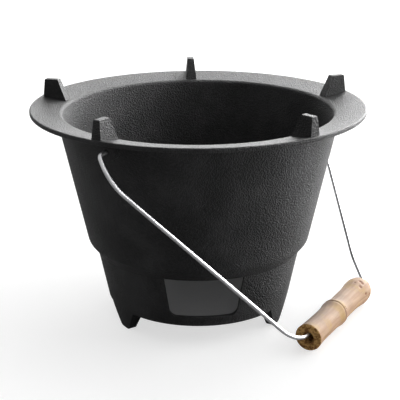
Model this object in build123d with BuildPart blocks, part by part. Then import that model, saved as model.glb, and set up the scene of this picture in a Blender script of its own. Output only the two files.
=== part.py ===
"""Portable cast-iron charcoal stove with a loose grate and a wire bail carrying a bamboo grip.

Millimetres, +Z up. The origin is on the floor, on the axis of the bowl. The air inlet faces -Y.
"""
from build123d import *
from math import cos, radians, sin, tan
import os

os.makedirs("parts", exist_ok=True)

# Casting: driving sizes
WALL = 5.0                  # bowl wall and floor
RIM_R = 150.0               # outer radius of the flared rim
RIM_Z = 200.0               # height of the rim's outer top edge
RIM_T = 4.0                 # rim thickness
RIM_RISE = 10.0             # degrees the rim climbs outwards
RIM_W = 23.3                # rim's edge in to where it meets the outer wall
BOWL_TAPER = 12.0           # degrees off vertical, upper wall
SHOULDER_Z = 77.0           # where the upper wall turns in
STEP_R = 94.2               # outer radius at the foot of the shoulder
STEP_Z = 67.0
BASE_R = 84.6               # outer radius at the bottom edge
BASE_Z = 19.3               # underside of the casting above the floor
LEDGE_Z = 76.0              # seat of the grate
LEDGE_W = 7.0               # width of that seat
LIP_ROUND = 3.5
SHOULDER_ROUND = 8.0
BASE_ROUND = 2.5
RIM_ROUND = 1.2

# Air inlet, seen from the front
INLET_TOP_HALF = 34.6
INLET_SILL_HALF = 29.0
INLET_SILL_Z = 28.7
INLET_CORNER = 7.0

# Pot supports standing on the rim
SUPPORTS = 5
SUPPORT_ROOT_IN = (24.8, 2.4)     # inner and outer face, in from the rim's edge
SUPPORT_TOP_IN = (16.6, 4.0)
SUPPORT_H = 15.3                  # above the rim's edge
SUPPORT_ROOT_W = 10.2
SUPPORT_TOP_W = 6.2
SUPPORT_ROUND = 1.0
SUPPORT_SINK = 3.6                # how far the supports are rooted in the rim

# Feet
FEET = 3
FOOT_TIP_R = 80.7
FOOT_DEPTH = 11.0           # radial depth at the root
FOOT_TIP_DEPTH = 7.0
FOOT_ROOT_W = 36.0
FOOT_TIP_W = 13.0
FOOT_TIP_ROUND = 4.0

# Bail: steel wire hooked through two ears under the rim
WIRE_D = 3.5
WIRE_PLAY = 0.3             # radial gap in the ear and in the grip
BAIL_AZ = 57.0              # direction of the pivot axis, degrees from +X
BAIL_DROP = 10.0            # pivot axis below the rim's edge
BAIL_LEAN = 36.7            # degrees the hanging bail leans out from straight down
EAR_INSET = 13.0            # inner face of an ear, in from the rim's edge
EAR_T = 8.0
EAR_R = 8.0
HOOK_PAST = 3.0             # the hooked wire ends this far past the ear
LEG_OUT = 4.5               # the wire turns down this far outside the rim
NEAR_KNEE = (12.5, 22.0)    # outside the rim, and down the bail
NEAR_HEEL = 56.0
FAR_KNEE = (20.6, 92.8)
FAR_ANKLE = (106.4, 190.0)  # along the pivot axis, and down the bail
FAR_HEEL = 97.6
BAIL_LENGTH = 216.4         # pivot axis to the straight under the grip
HOOK_BEND = 6.0
NEAR_KNEE_BEND = 42.0
FAR_KNEE_BEND = 38.0
NEAR_HEEL_BEND = 36.0
FAR_ANKLE_BEND = 40.0
FAR_HEEL_BEND = 6.0

# Bamboo grip, sizes along its length from the cut near end
GRIP_START = -34.5          # near end, along the pivot axis
GRIP_L = 127.0
GRIP_BORE_D = 10.5
GRIP_END_R = 12.4
GRIP_NODE_R = 12.9
GRIP_NODE_AT = 57.5
GRIP_KNOB_R = 13.0
GRIP_KNOB_AT = 113.0
NODE_GROOVE = 0.7
NODE_GROOVE_HALF = 1.5
CUT_ROUND = 1.0             # bevel at the cut end
WAIST_AT = (22.0, 36.0, 84.0)
WAIST_R = (11.6, 11.4, 11.5)
KNOB_FLANK = (4.0, 11.2)    # from the far end, and radius
KNOB_CROWN = (1.2, 8.9)
KNOB_FACE_R = 6.5           # where the rounded end meets the bore's mouth

# Grate
GRATE_T = 6.0
GRATE_PLAY = 1.0            # radial gap to the casting
GRATE_BAR = 9.0
GRATE_SLOT = 10.0
GRATE_RIM_W = 9.0
GRATE_ROUND = 1.5

bowl_r = RIM_R - RIM_W
bowl_slope = tan(radians(BOWL_TAPER))
rim_slope = tan(radians(RIM_RISE))


def rim_top(r):
    """Height of the rim's upper face at radius r."""
    return RIM_Z - (RIM_R - r) * rim_slope


def rim_under(r):
    """Height of the rim's lower face at radius r."""
    return rim_top(r) - RIM_T


def facing(azimuth, distance=0.0, height=0.0):
    """An upright plane at a distance from the axis that looks outwards, its y pointing up."""
    out = Vector(cos(radians(azimuth)), sin(radians(azimuth)), 0)
    return Plane(
        origin=out * distance + Vector(0, 0, height),
        x_dir=Vector(0, 0, 1).cross(out),
        z_dir=out,
    )


bowl_top_z = rim_under(bowl_r)


def bowl_outer(z):
    """Outer radius of the upper wall at height z."""
    return bowl_r - (bowl_top_z - z) * bowl_slope


# Where the inner wall line meets the rim's upper face
mouth_r = bowl_r - WALL
mouth_z = rim_top(mouth_r)
ledge_outer = bowl_outer(LEDGE_Z) - WALL
ledge_inner = ledge_outer - LEDGE_W
floor_top = BASE_Z + WALL
base_slope = (STEP_R - BASE_R) / (STEP_Z - BASE_Z)
floor_r = BASE_R + WALL * base_slope - WALL

# Feet: three tapered toes cut out of a ring that carries on the lower wall
with BuildPart() as toes:
    for index in range(FEET):
        with BuildSketch(facing(90 + index * 360 / FEET)) as toe:
            with BuildLine():
                Polyline(
                    (-FOOT_TIP_W / 2, 0),
                    (FOOT_TIP_W / 2, 0),
                    (FOOT_ROOT_W / 2, BASE_Z),
                    (FOOT_ROOT_W / 2, BASE_Z + BASE_ROUND),
                    (-FOOT_ROOT_W / 2, BASE_Z + BASE_ROUND),
                    (-FOOT_ROOT_W / 2, BASE_Z),
                    close=True,
                )
            make_face()
            fillet(toe.vertices().group_by(Axis.Y)[0], FOOT_TIP_ROUND)
        extrude(amount=STEP_R)

with BuildPart() as feet:
    with BuildSketch(Plane.XZ):
        with BuildLine():
            Polyline(
                (BASE_R - FOOT_DEPTH, BASE_Z + BASE_ROUND),
                (BASE_R - FOOT_DEPTH, BASE_Z),
                (FOOT_TIP_R - FOOT_TIP_DEPTH, 0),
                (FOOT_TIP_R, 0),
                (BASE_R, BASE_Z),
                (BASE_R + BASE_ROUND * base_slope, BASE_Z + BASE_ROUND),
                close=True,
            )
        make_face()
    revolve(axis=Axis.Z)
    add(toes.part, mode=Mode.INTERSECT)


with BuildPart() as stove_body:
    # Bowl, ash chamber and rim as one revolved wall
    with BuildSketch(Plane.XZ) as section:
        with BuildLine():
            Polyline(
                (0, BASE_Z),
                (BASE_R, BASE_Z),
                (STEP_R, STEP_Z),
                (bowl_outer(SHOULDER_Z), SHOULDER_Z),
                (bowl_r, bowl_top_z),
                (RIM_R, rim_under(RIM_R)),
                (RIM_R, RIM_Z),
                (mouth_r, mouth_z),
                (ledge_outer, LEDGE_Z),
                (ledge_inner, LEDGE_Z),
                (floor_r, floor_top),
                (0, floor_top),
                close=True,
            )
        make_face()

        def corner(r, z):
            """The section's corner nearest to a radius and a height."""
            return section.vertices().sort_by_distance(Vector(r, z))[0]

        fillet(corner(mouth_r, mouth_z), LIP_ROUND)
        fillet(corner(bowl_outer(SHOULDER_Z), SHOULDER_Z), SHOULDER_ROUND)
        fillet(corner(BASE_R, BASE_Z), BASE_ROUND)
        fillet(corner(bowl_r, bowl_top_z), LIP_ROUND)
        fillet([corner(RIM_R, RIM_Z), corner(RIM_R, rim_under(RIM_R))], RIM_ROUND)
        fillet(corner(floor_r, floor_top), LIP_ROUND)
    revolve(axis=Axis.Z)

    # Air inlet through the front wall
    with BuildSketch(Plane.XZ) as inlet:
        with BuildLine():
            Polyline(
                (-INLET_SILL_HALF, INLET_SILL_Z),
                (INLET_SILL_HALF, INLET_SILL_Z),
                (INLET_TOP_HALF, STEP_Z),
                (-INLET_TOP_HALF, STEP_Z),
                close=True,
            )
        make_face()
        fillet(inlet.vertices().group_by(Axis.Y)[0], INLET_CORNER)
    extrude(amount=STEP_R + WALL, mode=Mode.SUBTRACT)

    # Pot supports, drafted on all four sides
    support_root = [RIM_R - inset for inset in SUPPORT_ROOT_IN]
    support_top = [RIM_R - inset for inset in SUPPORT_TOP_IN]
    support_top_z = RIM_Z + SUPPORT_H
    for index in range(SUPPORTS):
        turn = Plane.XY.rotated((0, 0, 90 + index * 360 / SUPPORTS))
        root_z = rim_top(support_root[1]) - SUPPORT_SINK
        with BuildSketch(turn.offset(root_z)):
            with Locations((sum(support_root) / 2, 0)):
                Rectangle(support_root[1] - support_root[0], SUPPORT_ROOT_W)
        with BuildSketch(turn.offset(support_top_z)):
            with Locations((sum(support_top) / 2, 0)):
                Rectangle(support_top[1] - support_top[0], SUPPORT_TOP_W)
        loft()
    crowns = stove_body.faces().filter_by(Axis.Z).filter_by_position(
        Axis.Z, support_top_z - 0.01, support_top_z + 0.01
    )
    fillet(crowns.edges(), SUPPORT_ROUND)

    # Ears for the bail, one at each end of the pivot axis
    ear_in = RIM_R - EAR_INSET
    bail_z = RIM_Z - BAIL_DROP
    for end in (0, 180):
        across = facing(BAIL_AZ + end, ear_in, bail_z)
        ear_top = rim_under(ear_in + EAR_T) - bail_z
        with BuildSketch(across):
            Circle(EAR_R)
            Rectangle(2 * EAR_R, EAR_R, align=(Align.CENTER, Align.MIN), mode=Mode.SUBTRACT)
            Rectangle(2 * EAR_R, ear_top, align=(Align.CENTER, Align.MIN))
        extrude(amount=EAR_T)
        with BuildSketch(across):
            Circle(WIRE_D / 2 + WIRE_PLAY)
        extrude(amount=EAR_T, mode=Mode.SUBTRACT)

    add(feet.part)
stove_body.part.label = "stove_body"
export_step(stove_body.part, "parts/stove_body.step")

# Loose grate: a round casting with straight slots, split by a middle bar
grate_r = ledge_outer - GRATE_PLAY
slot_pitch = GRATE_BAR + GRATE_SLOT
slot_reach = grate_r - GRATE_RIM_W
slot_rows = int((slot_reach - GRATE_SLOT) / slot_pitch)
with BuildPart() as charcoal_grate:
    with BuildSketch(Plane.XY.offset(LEDGE_Z)):
        Circle(grate_r)
        for row in range(-slot_rows, slot_rows + 1):
            y = row * slot_pitch
            chord = (slot_reach**2 - (abs(y) + GRATE_SLOT / 2) ** 2) ** 0.5
            slot_l = chord - GRATE_BAR / 2
            with Locations(
                (GRATE_BAR / 2 + slot_l / 2, y),
                (-GRATE_BAR / 2 - slot_l / 2, y),
            ):
                SlotOverall(slot_l, GRATE_SLOT, mode=Mode.SUBTRACT)
    extrude(amount=GRATE_T)
    fillet(charcoal_grate.faces().sort_by(Axis.Z)[-1].outer_wire().edges(), GRATE_ROUND)
charcoal_grate.part.label = "charcoal_grate"
export_step(charcoal_grate.part, "parts/charcoal_grate.step")

# The bail's own plane: x along the pivot axis to the far ear, y down the bail
lean = radians(BAIL_LEAN)
azimuth = radians(BAIL_AZ)
far_way = Vector(cos(azimuth), sin(azimuth), 0)
out_way = Vector(sin(azimuth), -cos(azimuth), 0)
down_way = out_way * sin(lean) - Vector(0, 0, 1) * cos(lean)
pivot = Vector(0, 0, bail_z)
bail_plane = Plane(origin=pivot, x_dir=far_way, z_dir=far_way.cross(down_way))

hook_in = ear_in - HOOK_PAST
leg_top = RIM_R + LEG_OUT

with BuildPart() as bail_wire:
    with BuildLine(bail_plane) as route:
        FilletPolyline(
            (-hook_in, 0),
            (-leg_top, 0),
            (-RIM_R - NEAR_KNEE[0], NEAR_KNEE[1]),
            (-NEAR_HEEL, BAIL_LENGTH),
            (FAR_HEEL, BAIL_LENGTH),
            FAR_ANKLE,
            (RIM_R + FAR_KNEE[0], FAR_KNEE[1]),
            (leg_top, 0),
            (hook_in, 0),
            radius=[
                HOOK_BEND,
                NEAR_KNEE_BEND,
                NEAR_HEEL_BEND,
                FAR_HEEL_BEND,
                FAR_ANKLE_BEND,
                FAR_KNEE_BEND,
                HOOK_BEND,
            ],
        )
    with BuildSketch(Plane(origin=route.line @ 0, z_dir=route.line % 0)):
        Circle(WIRE_D / 2)
    sweep()
bail_wire.part.label = "bail_wire"
export_step(bail_wire.part, "parts/bail_wire.step")

# The grip hangs on the wire, which lies along the top of its bore
grip_sag = GRIP_BORE_D / 2 - WIRE_D / 2 - WIRE_PLAY
grip_start = pivot + far_way * GRIP_START + down_way * BAIL_LENGTH - Vector(0, 0, grip_sag)
grip_plane = Plane(origin=grip_start, x_dir=far_way, z_dir=far_way.cross(Vector(0, 0, 1)))
before_node = (GRIP_NODE_AT - NODE_GROOVE_HALF, GRIP_NODE_R)
node_line = (GRIP_NODE_AT, GRIP_NODE_R - NODE_GROOVE)
after_node = (GRIP_NODE_AT + NODE_GROOVE_HALF, GRIP_NODE_R)
knob_flank = (GRIP_L - KNOB_FLANK[0], KNOB_FLANK[1])
knob_crown = (GRIP_L - KNOB_CROWN[0], KNOB_CROWN[1])

with BuildPart() as bamboo_grip:
    with BuildSketch(grip_plane):
        with BuildLine():
            Line((0, 0), (0, GRIP_END_R - CUT_ROUND))
            Line((0, GRIP_END_R - CUT_ROUND), (CUT_ROUND, GRIP_END_R))
            Spline(
                (CUT_ROUND, GRIP_END_R),
                (WAIST_AT[0], WAIST_R[0]),
                (WAIST_AT[1], WAIST_R[1]),
                before_node,
            )
            Line(before_node, node_line)
            Line(node_line, after_node)
            Spline(after_node, (WAIST_AT[2], WAIST_R[2]), (GRIP_KNOB_AT, GRIP_KNOB_R), knob_flank)
            Spline(knob_flank, knob_crown, (GRIP_L, KNOB_FACE_R))
            Line((GRIP_L, KNOB_FACE_R), (GRIP_L, 0))
            Line((GRIP_L, 0), (0, 0))
        make_face()
    revolve(axis=Axis(grip_start, far_way))
    with BuildSketch(Plane(origin=grip_start, z_dir=far_way)):
        Circle(GRIP_BORE_D / 2)
    extrude(amount=GRIP_L, mode=Mode.SUBTRACT)
bamboo_grip.part.label = "bamboo_grip"
export_step(bamboo_grip.part, "parts/bamboo_grip.step")
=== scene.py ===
"""Looks of a cast-iron charcoal stove with a wire bail and a bamboo root grip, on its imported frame.

Metres, +Z up, the origin on the floor on the axis of the bowl, the air inlet facing -Y.
"""
from math import cos, radians, sin

import bpy
import numpy as np
from mathutils import Matrix, Vector


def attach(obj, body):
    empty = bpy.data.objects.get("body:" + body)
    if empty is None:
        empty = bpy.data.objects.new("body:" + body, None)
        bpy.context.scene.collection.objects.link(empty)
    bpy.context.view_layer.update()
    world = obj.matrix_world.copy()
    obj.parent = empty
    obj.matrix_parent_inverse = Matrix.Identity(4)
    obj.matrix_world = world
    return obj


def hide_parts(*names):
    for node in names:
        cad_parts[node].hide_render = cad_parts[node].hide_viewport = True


MM = 0.001

# The bail's straight, which the grip hangs on
BAIL_AZ = radians(57.0)
BAIL_LEAN = radians(36.7)
BAIL_Z = 190.0 * MM
BAIL_LENGTH = 216.4 * MM
GRIP_START = -34.5 * MM
GRIP_SAG = 3.2 * MM

# Bamboo grip, measured from the cut near end
GRIP_L = 127.0 * MM
GRIP_BORE_R = 5.25 * MM
GRIP_R = 11.4 * MM              # between the swellings
CUT_FLARE = 1.0 * MM
CUT_FLARE_L = 12.0 * MM
CUT_BEVEL = 1.0 * MM
NODE_AT = 57.5 * MM
NODE_SWELL = 1.5 * MM
NODE_SWELL_L = 7.0 * MM
NODE_GROOVE = 0.7 * MM
NODE_GROOVE_L = 1.1 * MM
KNOB_AT = 113.0 * MM
KNOB_SWELL = 1.8 * MM
KNOB_SWELL_L = 13.0 * MM
KNOB_FACE_SHARE = 0.556         # radius left at the far face
LUMP_DEPTH = 0.35 * MM
SCAR_DEPTH = 0.45 * MM

# Lumps in the skin: depth share, waves around, radians they turn along the grip, first angle
LUMP_WAVES = ((0.2, 2, 16.5, 1.0), (0.16, 3, -14.0, 0.0), (0.14, 5, 23.0, 2.0))

# Dark line in the node's groove, and painted shade on the side that faces up and towards the stove
NODE_LINE_L = 0.9 * MM
SIDE_SHADE_AT = 26.0 * MM
SIDE_SHADE_L = 48.0 * MM

# Rings of root scars: place along the grip, how many, radius of one, turn of the ring
SCAR_RINGS = (
    (62.0 * MM, 11, 0.9 * MM, 0.3),
    (106.0 * MM, 9, 1.5 * MM, 0.9),
    (112.5 * MM, 10, 1.7 * MM, 0.2),
    (119.0 * MM, 8, 1.6 * MM, 0.7),
    (123.5 * MM, 6, 1.3 * MM, 0.1),
)

# How uneven the root scars of a ring are
SCAR_CROWD = 0.22               # radians they crowd together
SCAR_WANDER = 1.6 * MM          # along the grip
SCAR_SIZE_MID = 0.8
SCAR_SIZE_SPREAD = 0.3

# How the grip's mesh is divided
GRIP_SIDES = 120
CUT_RINGS = 12
STEM_RINGS = 70
NODE_RINGS = 34
UPPER_RINGS = 46
KNOB_RINGS = 60
BORE_RINGS = 24
NODE_HALF = 4.0 * MM            # either side of the node the rings lie closer
KNOB_FROM = 103.0 * MM          # from here on the rings close up towards the far face

# Ash chamber inside the casting
CHAMBER_R = 80.8 * MM           # at its floor
CHAMBER_FLOOR = 24.3 * MM
CHAMBER_TOP = 75.0 * MM
CHAMBER_FLARE = 0.2             # how much wider it gets for its height

# Surface patterns, features to the metre
IRON_GRAIN = 560.0
IRON_GRIT = 900.0
IRON_UNEVEN = 26.0
WIRE_PATCH = 90.0
WIRE_SCRATCH = 1400.0
BAMBOO_FIBRE = 1100.0
BAMBOO_STREAK = 260.0
BAMBOO_PATCH = 38.0
BAMBOO_YELLOW = 70.0
BAMBOO_PORE = 420.0
FIBRE_STRETCH = 0.06            # fibres are this share as fine along the grip as across

# Depth of the sand-cast relief, and the specular levels, which are set low for these lamps
IRON_RELIEF = 1.9 * MM
IRON_SPECULAR = 0.15
BAMBOO_SPECULAR = 0.08

# Colours
BLACK_IRON = (0.008, 0.008, 0.0083, 1)
WORN_IRON = (0.036, 0.036, 0.037, 1)
# Painted light: a grey for the inside of the ash chamber, standing in for light that falls through the
# inlet onto its floor
CHAMBER_LIGHT_GREY = (0.30, 0.30, 0.305, 1)
GRATE_BLACK = (0.009, 0.009, 0.0095, 1)
GRATE_WORN = (0.03, 0.03, 0.031, 1)
BRIGHT_STEEL = (0.50, 0.50, 0.51, 1)
DULL_STEEL = (0.38, 0.38, 0.39, 1)
BAMBOO_PALE = (0.62, 0.42, 0.28, 1)
BAMBOO_TAN = (0.50, 0.30, 0.185, 1)
BAMBOO_GOLD = (0.62, 0.40, 0.15, 1)
FIBRE_BROWN = (0.38, 0.22, 0.13, 1)
# Brown of random patches, also used as painted shade on the grip's side that faces the stove
SIDE_SHADE_AND_PATCH_BROWN = (0.27, 0.19, 0.14, 1)
# The node's own dark line; on the side facing the stove it also serves as painted shade
NODE_BROWN = (0.13, 0.06, 0.03, 1)
SCAR_RED = (0.24, 0.085, 0.04, 1)
CUT_DARK = (0.22, 0.10, 0.035, 1)
CUT_PALE = (0.60, 0.36, 0.13, 1)
FLOOR_GREY = (0.55, 0.55, 0.55, 1)
WHITE = (1, 1, 1, 1)

# Floor
FLOOR_HALF = 6.0
FLOOR_SEEN = 0.62               # added where the camera sees it, rising to 1 far off
FLOOR_LIT = (0.85, 0.5)         # the way, in x and y, towards the side that is lit

# Soft boxes: name, place, what it faces, side, watts, whether only reflections show it
SOFT_BOXES = (
    ("right", (1.4, -0.05, 0.6), (0.0, 0.0, 0.12), 1.2, 14.0, False),
    ("overhead", (0.3, 0.5, 1.6), (0.0, 0.0, 0.15), 1.2, 4.5, False),
    ("front_fill", (0.5, -1.5, 0.5), (0.1, 0.0, 0.1), 0.5, 2.0, False),
    ("right_sheen", (1.5, 0.1, 0.9), (0.0, 0.0, 0.15), 1.3, 60.0, True),
    ("back_right_sheen", (1.3, 1.2, 0.9), (0.0, 0.0, 0.15), 1.8, 210.0, True),
    ("behind_sheen", (0.2, 2.0, 0.9), (0.0, 0.0, 0.15), 1.8, 50.0, True),
)

# Camera
CAMERA_AT = (-0.0482, -0.8891, 0.4078)
CAMERA_WAY = (0.05290, 0.94629, -0.31896)
CAMERA_ROLL = radians(-0.154)
LENS = 91.16

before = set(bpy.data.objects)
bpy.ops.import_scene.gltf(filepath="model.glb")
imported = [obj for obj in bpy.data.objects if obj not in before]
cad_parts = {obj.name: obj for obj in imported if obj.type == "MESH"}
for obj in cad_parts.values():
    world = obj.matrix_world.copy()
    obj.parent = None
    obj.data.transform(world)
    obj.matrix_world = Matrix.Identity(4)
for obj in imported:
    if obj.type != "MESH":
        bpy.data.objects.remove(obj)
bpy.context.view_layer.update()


class Value:
    """A number that varies over a surface: a shader socket that takes part in arithmetic."""

    def __init__(self, nodes, socket):
        self.nodes = nodes
        self.socket = socket

    def _math(self, operation, first, second):
        node = self.nodes.add("ShaderNodeMath", {"operation": operation}, {0: first, 1: second})
        return Value(self.nodes, node.outputs[0])

    def __add__(self, other):
        return self._math("ADD", self, other)

    def __radd__(self, other):
        return self._math("ADD", other, self)

    def __sub__(self, other):
        return self._math("SUBTRACT", self, other)

    def __rsub__(self, other):
        return self._math("SUBTRACT", other, self)

    def __mul__(self, other):
        return self._math("MULTIPLY", self, other)

    def __rmul__(self, other):
        return self._math("MULTIPLY", other, self)

    def __pow__(self, other):
        return self._math("POWER", self, other)

    def most(self, other):
        return self._math("MAXIMUM", self, other)

    def least(self, other):
        return self._math("MINIMUM", self, other)

    def rising(self, low, high):
        """0 below low, 1 above high, and smooth between them."""
        node = self.nodes.add(
            "ShaderNodeMapRange",
            {"interpolation_type": "SMOOTHSTEP"},
            {"Value": self, "From Min": low, "From Max": high},
        )
        return Value(self.nodes, node.outputs["Result"])


class Nodes:
    """A node tree being written, with one method that adds any node."""

    def __init__(self, tree):
        self.tree = tree

    def add(self, kind, settings=None, inputs=None):
        """Adds a node, sets its settings and then its sockets, each by name or number."""
        node = self.tree.nodes.new(kind)
        for name, value in (settings or {}).items():
            setattr(node, name, value)
        for name, value in (inputs or {}).items():
            self.feed(node.inputs[name], value)
        return node

    def feed(self, socket, value):
        if isinstance(value, Value):
            value = value.socket
        if isinstance(value, bpy.types.NodeSocket):
            self.tree.links.new(value, socket)
        else:
            socket.default_value = value

    def noise(self, place, scale, detail=3.0, rough=0.5):
        """Noise about 0.5 whose features are 1 / scale across."""
        node = self.add(
            "ShaderNodeTexNoise",
            {},
            {"Vector": place, "Scale": scale, "Detail": detail, "Roughness": rough},
        )
        return Value(self, node.outputs[0])

    def cells(self, place, scale):
        """Distance to the nearest of scattered points, about 1 / scale apart."""
        node = self.add("ShaderNodeTexVoronoi", {}, {"Vector": place, "Scale": scale})
        return Value(self, node.outputs["Distance"])

    def blend(self, share, first, second):
        """A colour that goes from first to second as share goes from 0 to 1."""
        node = self.add("ShaderNodeMix", {"data_type": "RGBA"}, {0: share, 6: first, 7: second})
        return node.outputs[2]

    def bump(self, height, depth, strength=1.0):
        """A normal tilted by the slope of height, which depth turns into metres."""
        inputs = {"Height": height, "Distance": depth, "Strength": strength}
        return self.add("ShaderNodeBump", {}, inputs).outputs[0]


class Finish(Nodes):
    """A surface material: its nodes and its Principled shader."""

    def __init__(self, name):
        self.material = bpy.data.materials.new(name)
        self.material.use_nodes = True
        super().__init__(self.material.node_tree)
        self.shader = self.tree.nodes["Principled BSDF"]

    def set(self, **sockets):
        """Sets or links the shader's sockets, their names written with underscores."""
        for name, value in sockets.items():
            self.feed(self.shader.inputs[name.replace("_", " ")], value)

    def place(self):
        return self.add("ShaderNodeTexCoord").outputs["Object"]


def sand_cast(name, dark, pale, chamber_light=None):
    """Blackened sand-cast iron: a fine grain over a slow unevenness.

    chamber_light, if given, is a grey painted inside the ash chamber as painted light, standing in for
    the light that falls through the inlet onto the chamber's floor.
    """
    finish = Finish(name)
    place = finish.place()
    grain = finish.noise(place, IRON_GRAIN, 3.0, 0.66)
    grit = finish.cells(place, IRON_GRIT)
    slow = finish.noise(place, IRON_UNEVEN, 4.0, 0.55)
    cover = slow.rising(0.35, 0.7) * 0.6 + grain.rising(0.4, 0.75) * 0.4
    colour = finish.blend(cover, dark, pale)
    rough = 0.40 + 0.14 * grain + 0.08 * slow
    relief = grain * 0.75 + grit * 0.35 + slow * 0.5
    # Painted light: the ash chamber's floor and walls, up to its top, are painted grey in place of the
    # light that falls in through the inlet
    if chamber_light:
        part = finish.add("ShaderNodeSeparateXYZ", {}, {0: place})
        x = Value(finish, part.outputs[0])
        y = Value(finish, part.outputs[1])
        z = Value(finish, part.outputs[2])
        radius = (x * x + y * y) ** 0.5
        past_wall = radius - CHAMBER_R - (z - CHAMBER_FLOOR) * CHAMBER_FLARE
        inside = (1.0 - past_wall.rising(-0.5 * MM, 1.0 * MM)) * z.rising(
            CHAMBER_FLOOR - 0.8 * MM, CHAMBER_FLOOR - 0.1 * MM
        )
        inside = inside * (1.0 - z.rising(CHAMBER_TOP - 0.5 * MM, CHAMBER_TOP + 0.5 * MM))
        colour = finish.blend(inside, colour, chamber_light)
        relief = relief * (1.0 - inside * 0.85)
        rough = rough - inside * 0.1
    finish.set(
        Base_Color=colour,
        Roughness=rough,
        Specular_IOR_Level=IRON_SPECULAR,
        Normal=finish.bump(relief, IRON_RELIEF, 0.9),
    )
    return finish.material


def drawn_steel():
    """Bright drawn wire with faint dull patches."""
    finish = Finish("drawn_steel")
    place = finish.place()
    patch = finish.noise(place, WIRE_PATCH, 3.0)
    scratch = finish.noise(place, WIRE_SCRATCH, 1.0)
    finish.set(
        Base_Color=finish.blend(patch.rising(0.35, 0.7), BRIGHT_STEEL, DULL_STEEL),
        Metallic=1.0,
        Roughness=0.30 + 0.14 * patch,
        Normal=finish.bump(scratch, 0.06 * MM),
    )
    return finish.material


def bamboo_root():
    """Bare bamboo: streaks along the grip, brown patches and painted shade on the side facing the
    stove, red-brown scars and a fibrous cut end.
    """
    finish = Finish("bamboo_root")
    uv = finish.add("ShaderNodeUVMap", {"uv_map": "grip"}).outputs[0]
    fibre_place = finish.add(
        "ShaderNodeMapping", {}, {"Vector": uv, "Scale": (1.0, FIBRE_STRETCH, 1.0)}
    ).outputs[0]
    place = finish.place()
    fibre = finish.noise(fibre_place, BAMBOO_FIBRE, 4.0, 0.6)
    streak = finish.noise(fibre_place, BAMBOO_STREAK, 3.0, 0.55)
    patch = finish.noise(place, BAMBOO_PATCH, 3.0, 0.5)
    yellow = finish.noise(place, BAMBOO_YELLOW, 2.0, 0.5)
    pore = finish.noise(place, BAMBOO_PORE, 3.0, 0.6)

    def painted(name):
        """A field that the mesh carries at its points."""
        node = finish.add("ShaderNodeAttribute", {"attribute_name": name})
        return Value(finish, node.outputs["Fac"])

    scar = painted("scar")
    groove = painted("groove")
    cut = painted("cut")
    side_shade = painted("side_shade")

    colour = finish.blend(streak.rising(0.3, 0.7), BAMBOO_PALE, BAMBOO_TAN)
    colour = finish.blend(yellow.rising(0.48, 0.66) * 0.6, colour, BAMBOO_GOLD)
    colour = finish.blend(fibre.rising(0.55, 0.8) * 0.35, colour, FIBRE_BROWN)
    # Painted shade on the side facing the stove, mixed with random brown patches
    side_shade_and_patches = (side_shade * 0.75 + patch.rising(0.5, 0.75) * 0.3).least(0.85)
    colour = finish.blend(side_shade_and_patches, colour, SIDE_SHADE_AND_PATCH_BROWN)
    # The node's own dark line, deepened on the side facing the stove as painted shade
    colour = finish.blend((groove * 0.9).least(0.9), colour, NODE_BROWN)
    colour = finish.blend((scar * 0.85).least(0.85), colour, SCAR_RED)
    cut_colour = finish.blend(pore.rising(0.38, 0.62), CUT_DARK, CUT_PALE)
    colour = finish.blend(cut.least(1.0), colour, cut_colour)
    finish.set(
        Base_Color=colour,
        Roughness=0.55 + 0.15 * fibre + 0.2 * cut,
        Specular_IOR_Level=BAMBOO_SPECULAR,
        Normal=finish.bump(fibre * 0.5 + streak * 0.6 - scar * 0.4, 0.5 * MM, 0.7),
    )
    return finish.material


def grip_lines():
    """The grip's start, its axis and the two directions across it, all in the frame.

    The axis runs along the bail's pivot direction; up is square to it, nearest to +Z.
    """
    along = np.array([cos(BAIL_AZ), sin(BAIL_AZ), 0.0])
    out = np.array([sin(BAIL_AZ), -cos(BAIL_AZ), 0.0])
    up = np.array([0.0, 0.0, 1.0])
    down_bail = out * sin(BAIL_LEAN) - up * cos(BAIL_LEAN)
    start = up * BAIL_Z + along * GRIP_START + down_bail * BAIL_LENGTH - up * GRIP_SAG
    return start, along, out, up


def grip_radius(x):
    """Outer radius at x: the plain stem, a flare at the cut end, a grooved node and a rounded knob.

    Each swelling is a bell curve; past the knob the radius is scaled by a share that falls from 1
    as the root of one minus the cube of the distance.
    """
    flare = CUT_FLARE * np.exp(-x / CUT_FLARE_L)
    node = NODE_SWELL * np.exp(-(((x - NODE_AT) / NODE_SWELL_L) ** 2))
    groove = NODE_GROOVE * np.exp(-(((x - NODE_AT) / NODE_GROOVE_L) ** 2))
    knob = KNOB_SWELL * np.exp(-(((x - KNOB_AT) / KNOB_SWELL_L) ** 2))
    past = np.clip((x - KNOB_AT) / (GRIP_L - KNOB_AT), 0, 1)
    share = KNOB_FACE_SHARE + (1 - KNOB_FACE_SHARE) * np.sqrt(1 - past**3)
    return (GRIP_R + flare + node - groove + knob) * share


def scar_field(x, turn, radius):
    """1 at the middle of each root scar, falling as a flat-topped bell with distance on the skin."""
    field = np.zeros_like(x)
    for ring_at, count, size, ring_turn in SCAR_RINGS:
        turns = ring_turn + np.arange(count) * 2 * np.pi / count
        turns = turns + SCAR_CROWD * np.sin(5.0 * turns + 40 * ring_at / GRIP_L)
        places = ring_at + SCAR_WANDER * np.sin(3.0 * turns + ring_turn * 9)
        sizes = size * (SCAR_SIZE_MID + SCAR_SIZE_SPREAD * np.sin(7.0 * turns + ring_turn))
        around = np.angle(np.exp(1j * (turn[..., None] - turns))) * radius[..., None]
        away = np.sqrt(around**2 + (x[..., None] - places) ** 2) / sizes
        field = np.maximum(field, np.exp(-(away**4)).max(axis=-1))
    return field


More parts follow.
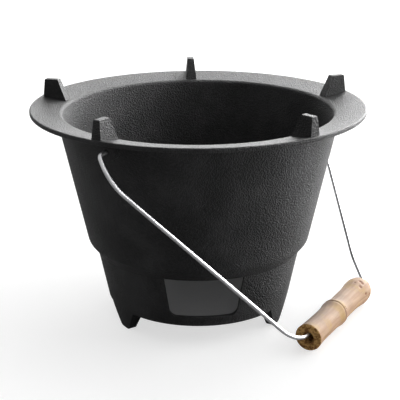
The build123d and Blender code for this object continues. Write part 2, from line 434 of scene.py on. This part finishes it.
def bamboo_grip():
    """The grip as one closed grid: around the axis by a loop of stations along skin and bore."""
    knob_l = GRIP_L - KNOB_FROM - 0.4 * MM
    skin_x = np.concatenate([
        np.linspace(CUT_BEVEL, NODE_AT - NODE_HALF, STEM_RINGS),
        np.linspace(NODE_AT - 0.95 * NODE_HALF, NODE_AT + 0.95 * NODE_HALF, NODE_RINGS),
        np.linspace(NODE_AT + NODE_HALF, KNOB_FROM, UPPER_RINGS),
        GRIP_L - knob_l * (1 - np.sin(np.linspace(0, np.pi / 2, KNOB_RINGS))),
    ])
    skin_r = grip_radius(skin_x)
    cut_r = np.linspace(GRIP_BORE_R, skin_r[0] - CUT_BEVEL, CUT_RINGS)
    bore_x = np.linspace(GRIP_L - 0.6 * MM, 0.4 * MM, BORE_RINGS)
    station_x = np.concatenate([np.zeros(CUT_RINGS), [0.3 * CUT_BEVEL], skin_x, bore_x])
    station_r = np.concatenate([
        cut_r,
        [skin_r[0] - 0.3 * CUT_BEVEL],
        skin_r,
        np.full(BORE_RINGS, GRIP_BORE_R),
    ])
    on_skin = np.concatenate([np.zeros(CUT_RINGS + 1), np.ones(len(skin_x)), np.zeros(BORE_RINGS)])
    edge = np.clip(1 - (skin_x - skin_x[0]) / (0.8 * MM), 0, 1)
    on_cut = np.concatenate([np.ones(CUT_RINGS + 1), edge, np.ones(BORE_RINGS)])

    sides = GRIP_SIDES
    turn = np.arange(sides) * 2 * np.pi / sides
    x, a = np.meshgrid(station_x, turn, indexing="ij")
    r = np.broadcast_to(station_r[:, None], x.shape).copy()
    skin = np.broadcast_to(on_skin[:, None], x.shape)
    cut = np.broadcast_to(on_cut[:, None], x.shape)

    lump = np.full(x.shape, 0.5)
    for share, waves, turns_on, first in LUMP_WAVES:
        lump = lump + share * np.sin(waves * a + turns_on * x / GRIP_L + first)
    ridge = 0.12 * np.sin(17 * a + 4 * np.sin(9 * x / GRIP_L))
    scar = scar_field(x, a, np.maximum(r, GRIP_BORE_R)) * skin
    r -= skin * (LUMP_DEPTH * np.clip(lump + ridge, 0, 1) + SCAR_DEPTH * scar)
    # Painted shade: the node's dark line is at 0.35 all round and at full strength on the side facing
    # up and towards the stove
    upper_shaded_side = np.clip(np.sin(a - 0.9), 0, 1)
    groove = np.exp(-(((x - NODE_AT) / NODE_LINE_L) ** 2)) * skin * (0.35 + 0.65 * upper_shaded_side)
    # Painted shade: brown laid on the side that faces up and towards the stove, strongest near the cut
    # end
    side_shade = (
        np.exp(-(((x - SIDE_SHADE_AT) / SIDE_SHADE_L) ** 2))
        * np.clip(np.sin(a - 1.0) + 0.25 * lump, 0, 1) ** 1.3
        * skin
    )

    start, along, out, up = grip_lines()
    points = (
        start
        + x[..., None] * along
        + (r * np.cos(a))[..., None] * out
        + (r * np.sin(a))[..., None] * up
    )
    rings = len(station_x)
    i, j = np.meshgrid(np.arange(rings), np.arange(sides), indexing="ij")
    i2 = (i + 1) % rings
    j2 = (j + 1) % sides
    faces = np.stack([i * sides + j, i2 * sides + j, i2 * sides + j2, i * sides + j2], axis=-1)

    mesh = bpy.data.meshes.new("bamboo_root_grip")
    mesh.from_pydata(points.reshape(-1, 3), [], faces.reshape(-1, 4))
    mesh.polygons.foreach_set("use_smooth", np.ones(len(mesh.polygons), dtype=bool))
    uv = mesh.uv_layers.new(name="grip")
    around = GRIP_R * 2 * np.pi / sides
    corner_u = np.stack([j, j, j + 1, j + 1], axis=-1) * around
    corner_v = np.stack([x, np.roll(x, -1, 0), np.roll(x, -1, 0), x], axis=-1)
    uv.data.foreach_set("uv", np.stack([corner_u, corner_v], axis=-1).ravel())
    for name, field in (("scar", scar), ("groove", groove), ("cut", cut), ("side_shade", side_shade)):
        layer = mesh.attributes.new(name, "FLOAT", "POINT")
        layer.data.foreach_set("value", field.ravel())
    mesh.materials.append(bamboo_root())
    mesh.update()
    grip = bpy.data.objects.new("bamboo_root_grip", mesh)
    bpy.context.scene.collection.objects.link(grip)
    skin_ring = CUT_RINGS + 8
    axis_point = start + x[skin_ring, 0] * along
    outward = mesh.polygons[skin_ring * sides].normal.dot(Vector(points[skin_ring, 0] - axis_point))
    if outward < 0:
        mesh.flip_normals()
    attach(grip, "grip")
    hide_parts("bamboo_grip")


def dress(node, material):
    """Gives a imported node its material."""
    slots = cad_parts[node].material_slots
    for place in slots:
        place.material = material


def pale_floor():
    """A wide floor, white to the camera except where the stove shades it.

    Reflections see it white only to the right and behind, where the studio's light falls.
    """
    finish = Finish("pale_floor")
    finish.set(Base_Color=FLOOR_GREY, Roughness=0.9, Specular_IOR_Level=0.1)
    ray = finish.add("ShaderNodeLightPath")
    seen = Value(finish, ray.outputs["Is Camera Ray"])
    mirrored = Value(finish, ray.outputs["Is Glossy Ray"])
    part = finish.add("ShaderNodeSeparateXYZ", {}, {0: finish.place()})
    x = Value(finish, part.outputs[0])
    y = Value(finish, part.outputs[1])
    lit_side = x * FLOOR_LIT[0] + y * FLOOR_LIT[1]
    far = ((x * x + y * y) ** 0.5).rising(0.6, 1.6)
    glow = seen * (FLOOR_SEEN + (1 - FLOOR_SEEN) * far)
    glow = glow + mirrored * lit_side.rising(-0.04, 0.32)
    finish.set(Emission_Color=glow, Emission_Strength=1.0)
    half = FLOOR_HALF
    mesh = bpy.data.meshes.new("floor")
    corners = [(-half, -half, 0), (half, -half, 0), (half, half, 0), (-half, half, 0)]
    mesh.from_pydata(corners, [], [(0, 1, 2, 3)])
    mesh.materials.append(finish.material)
    floor = bpy.data.objects.new("floor", mesh)
    bpy.context.scene.collection.objects.link(floor)


def studio_world():
    """White to the camera and in reflections; it lights the stove from behind and above."""
    world = bpy.data.worlds.new("studio")
    world.use_nodes = True
    bpy.context.scene.world = world
    nodes = Nodes(world.node_tree)
    ray = nodes.add("ShaderNodeLightPath")
    through = Value(nodes, ray.outputs["Is Transmission Ray"])
    seen = Value(nodes, ray.outputs["Is Camera Ray"]).most(through)
    seen = seen.most(Value(nodes, ray.outputs["Is Glossy Ray"]))
    way = nodes.add("ShaderNodeTexCoord").outputs["Generated"]
    part = nodes.add("ShaderNodeSeparateXYZ", {}, {0: way})
    behind = Value(nodes, part.outputs[1]).rising(-0.35, 0.75)
    above = Value(nodes, part.outputs[2]).rising(-0.1, 0.9)
    level = 0.05 + 0.75 * behind + 0.25 * above
    background = world.node_tree.nodes["Background"]
    nodes.feed(background.inputs["Color"], WHITE)
    nodes.feed(background.inputs["Strength"], seen.most(level.least(1.0)))


def soft_light(name, at, towards, size, power, sheen_only):
    """A square soft box at a place, facing another; sheen_only shows it in reflections alone."""
    light = bpy.data.lights.new(name, "AREA")
    light.shape = "SQUARE"
    light.size = size
    light.energy = power
    lamp = bpy.data.objects.new(name, light)
    lamp.visible_diffuse = not sheen_only
    way = Vector(towards) - Vector(at)
    lamp.matrix_world = Matrix.Translation(at) @ way.to_track_quat("-Z", "Y").to_matrix().to_4x4()
    bpy.context.scene.collection.objects.link(lamp)


def camera():
    """The camera, looking along CAMERA_WAY and rolled about it."""
    data = bpy.data.cameras.new("view")
    data.lens = LENS
    data.sensor_width = 36.0
    data.clip_start = 0.01
    seen_from = bpy.data.objects.new("view", data)
    turn = Vector(CAMERA_WAY).to_track_quat("-Z", "Y").to_matrix().to_4x4()
    seen_from.matrix_world = Matrix.Translation(CAMERA_AT) @ turn @ Matrix.Rotation(CAMERA_ROLL, 4, "Z")
    bpy.context.scene.collection.objects.link(seen_from)
    bpy.context.scene.camera = seen_from


dress("stove_body", sand_cast("cast_iron", BLACK_IRON, WORN_IRON, CHAMBER_LIGHT_GREY))
dress("charcoal_grate", sand_cast("grate_iron", GRATE_BLACK, GRATE_WORN))
dress("bail_wire", drawn_steel())
bamboo_grip()

pale_floor()
studio_world()
for soft_box in SOFT_BOXES:
    soft_light(*soft_box)
camera()

bpy.context.scene.view_settings.view_transform = "Standard"
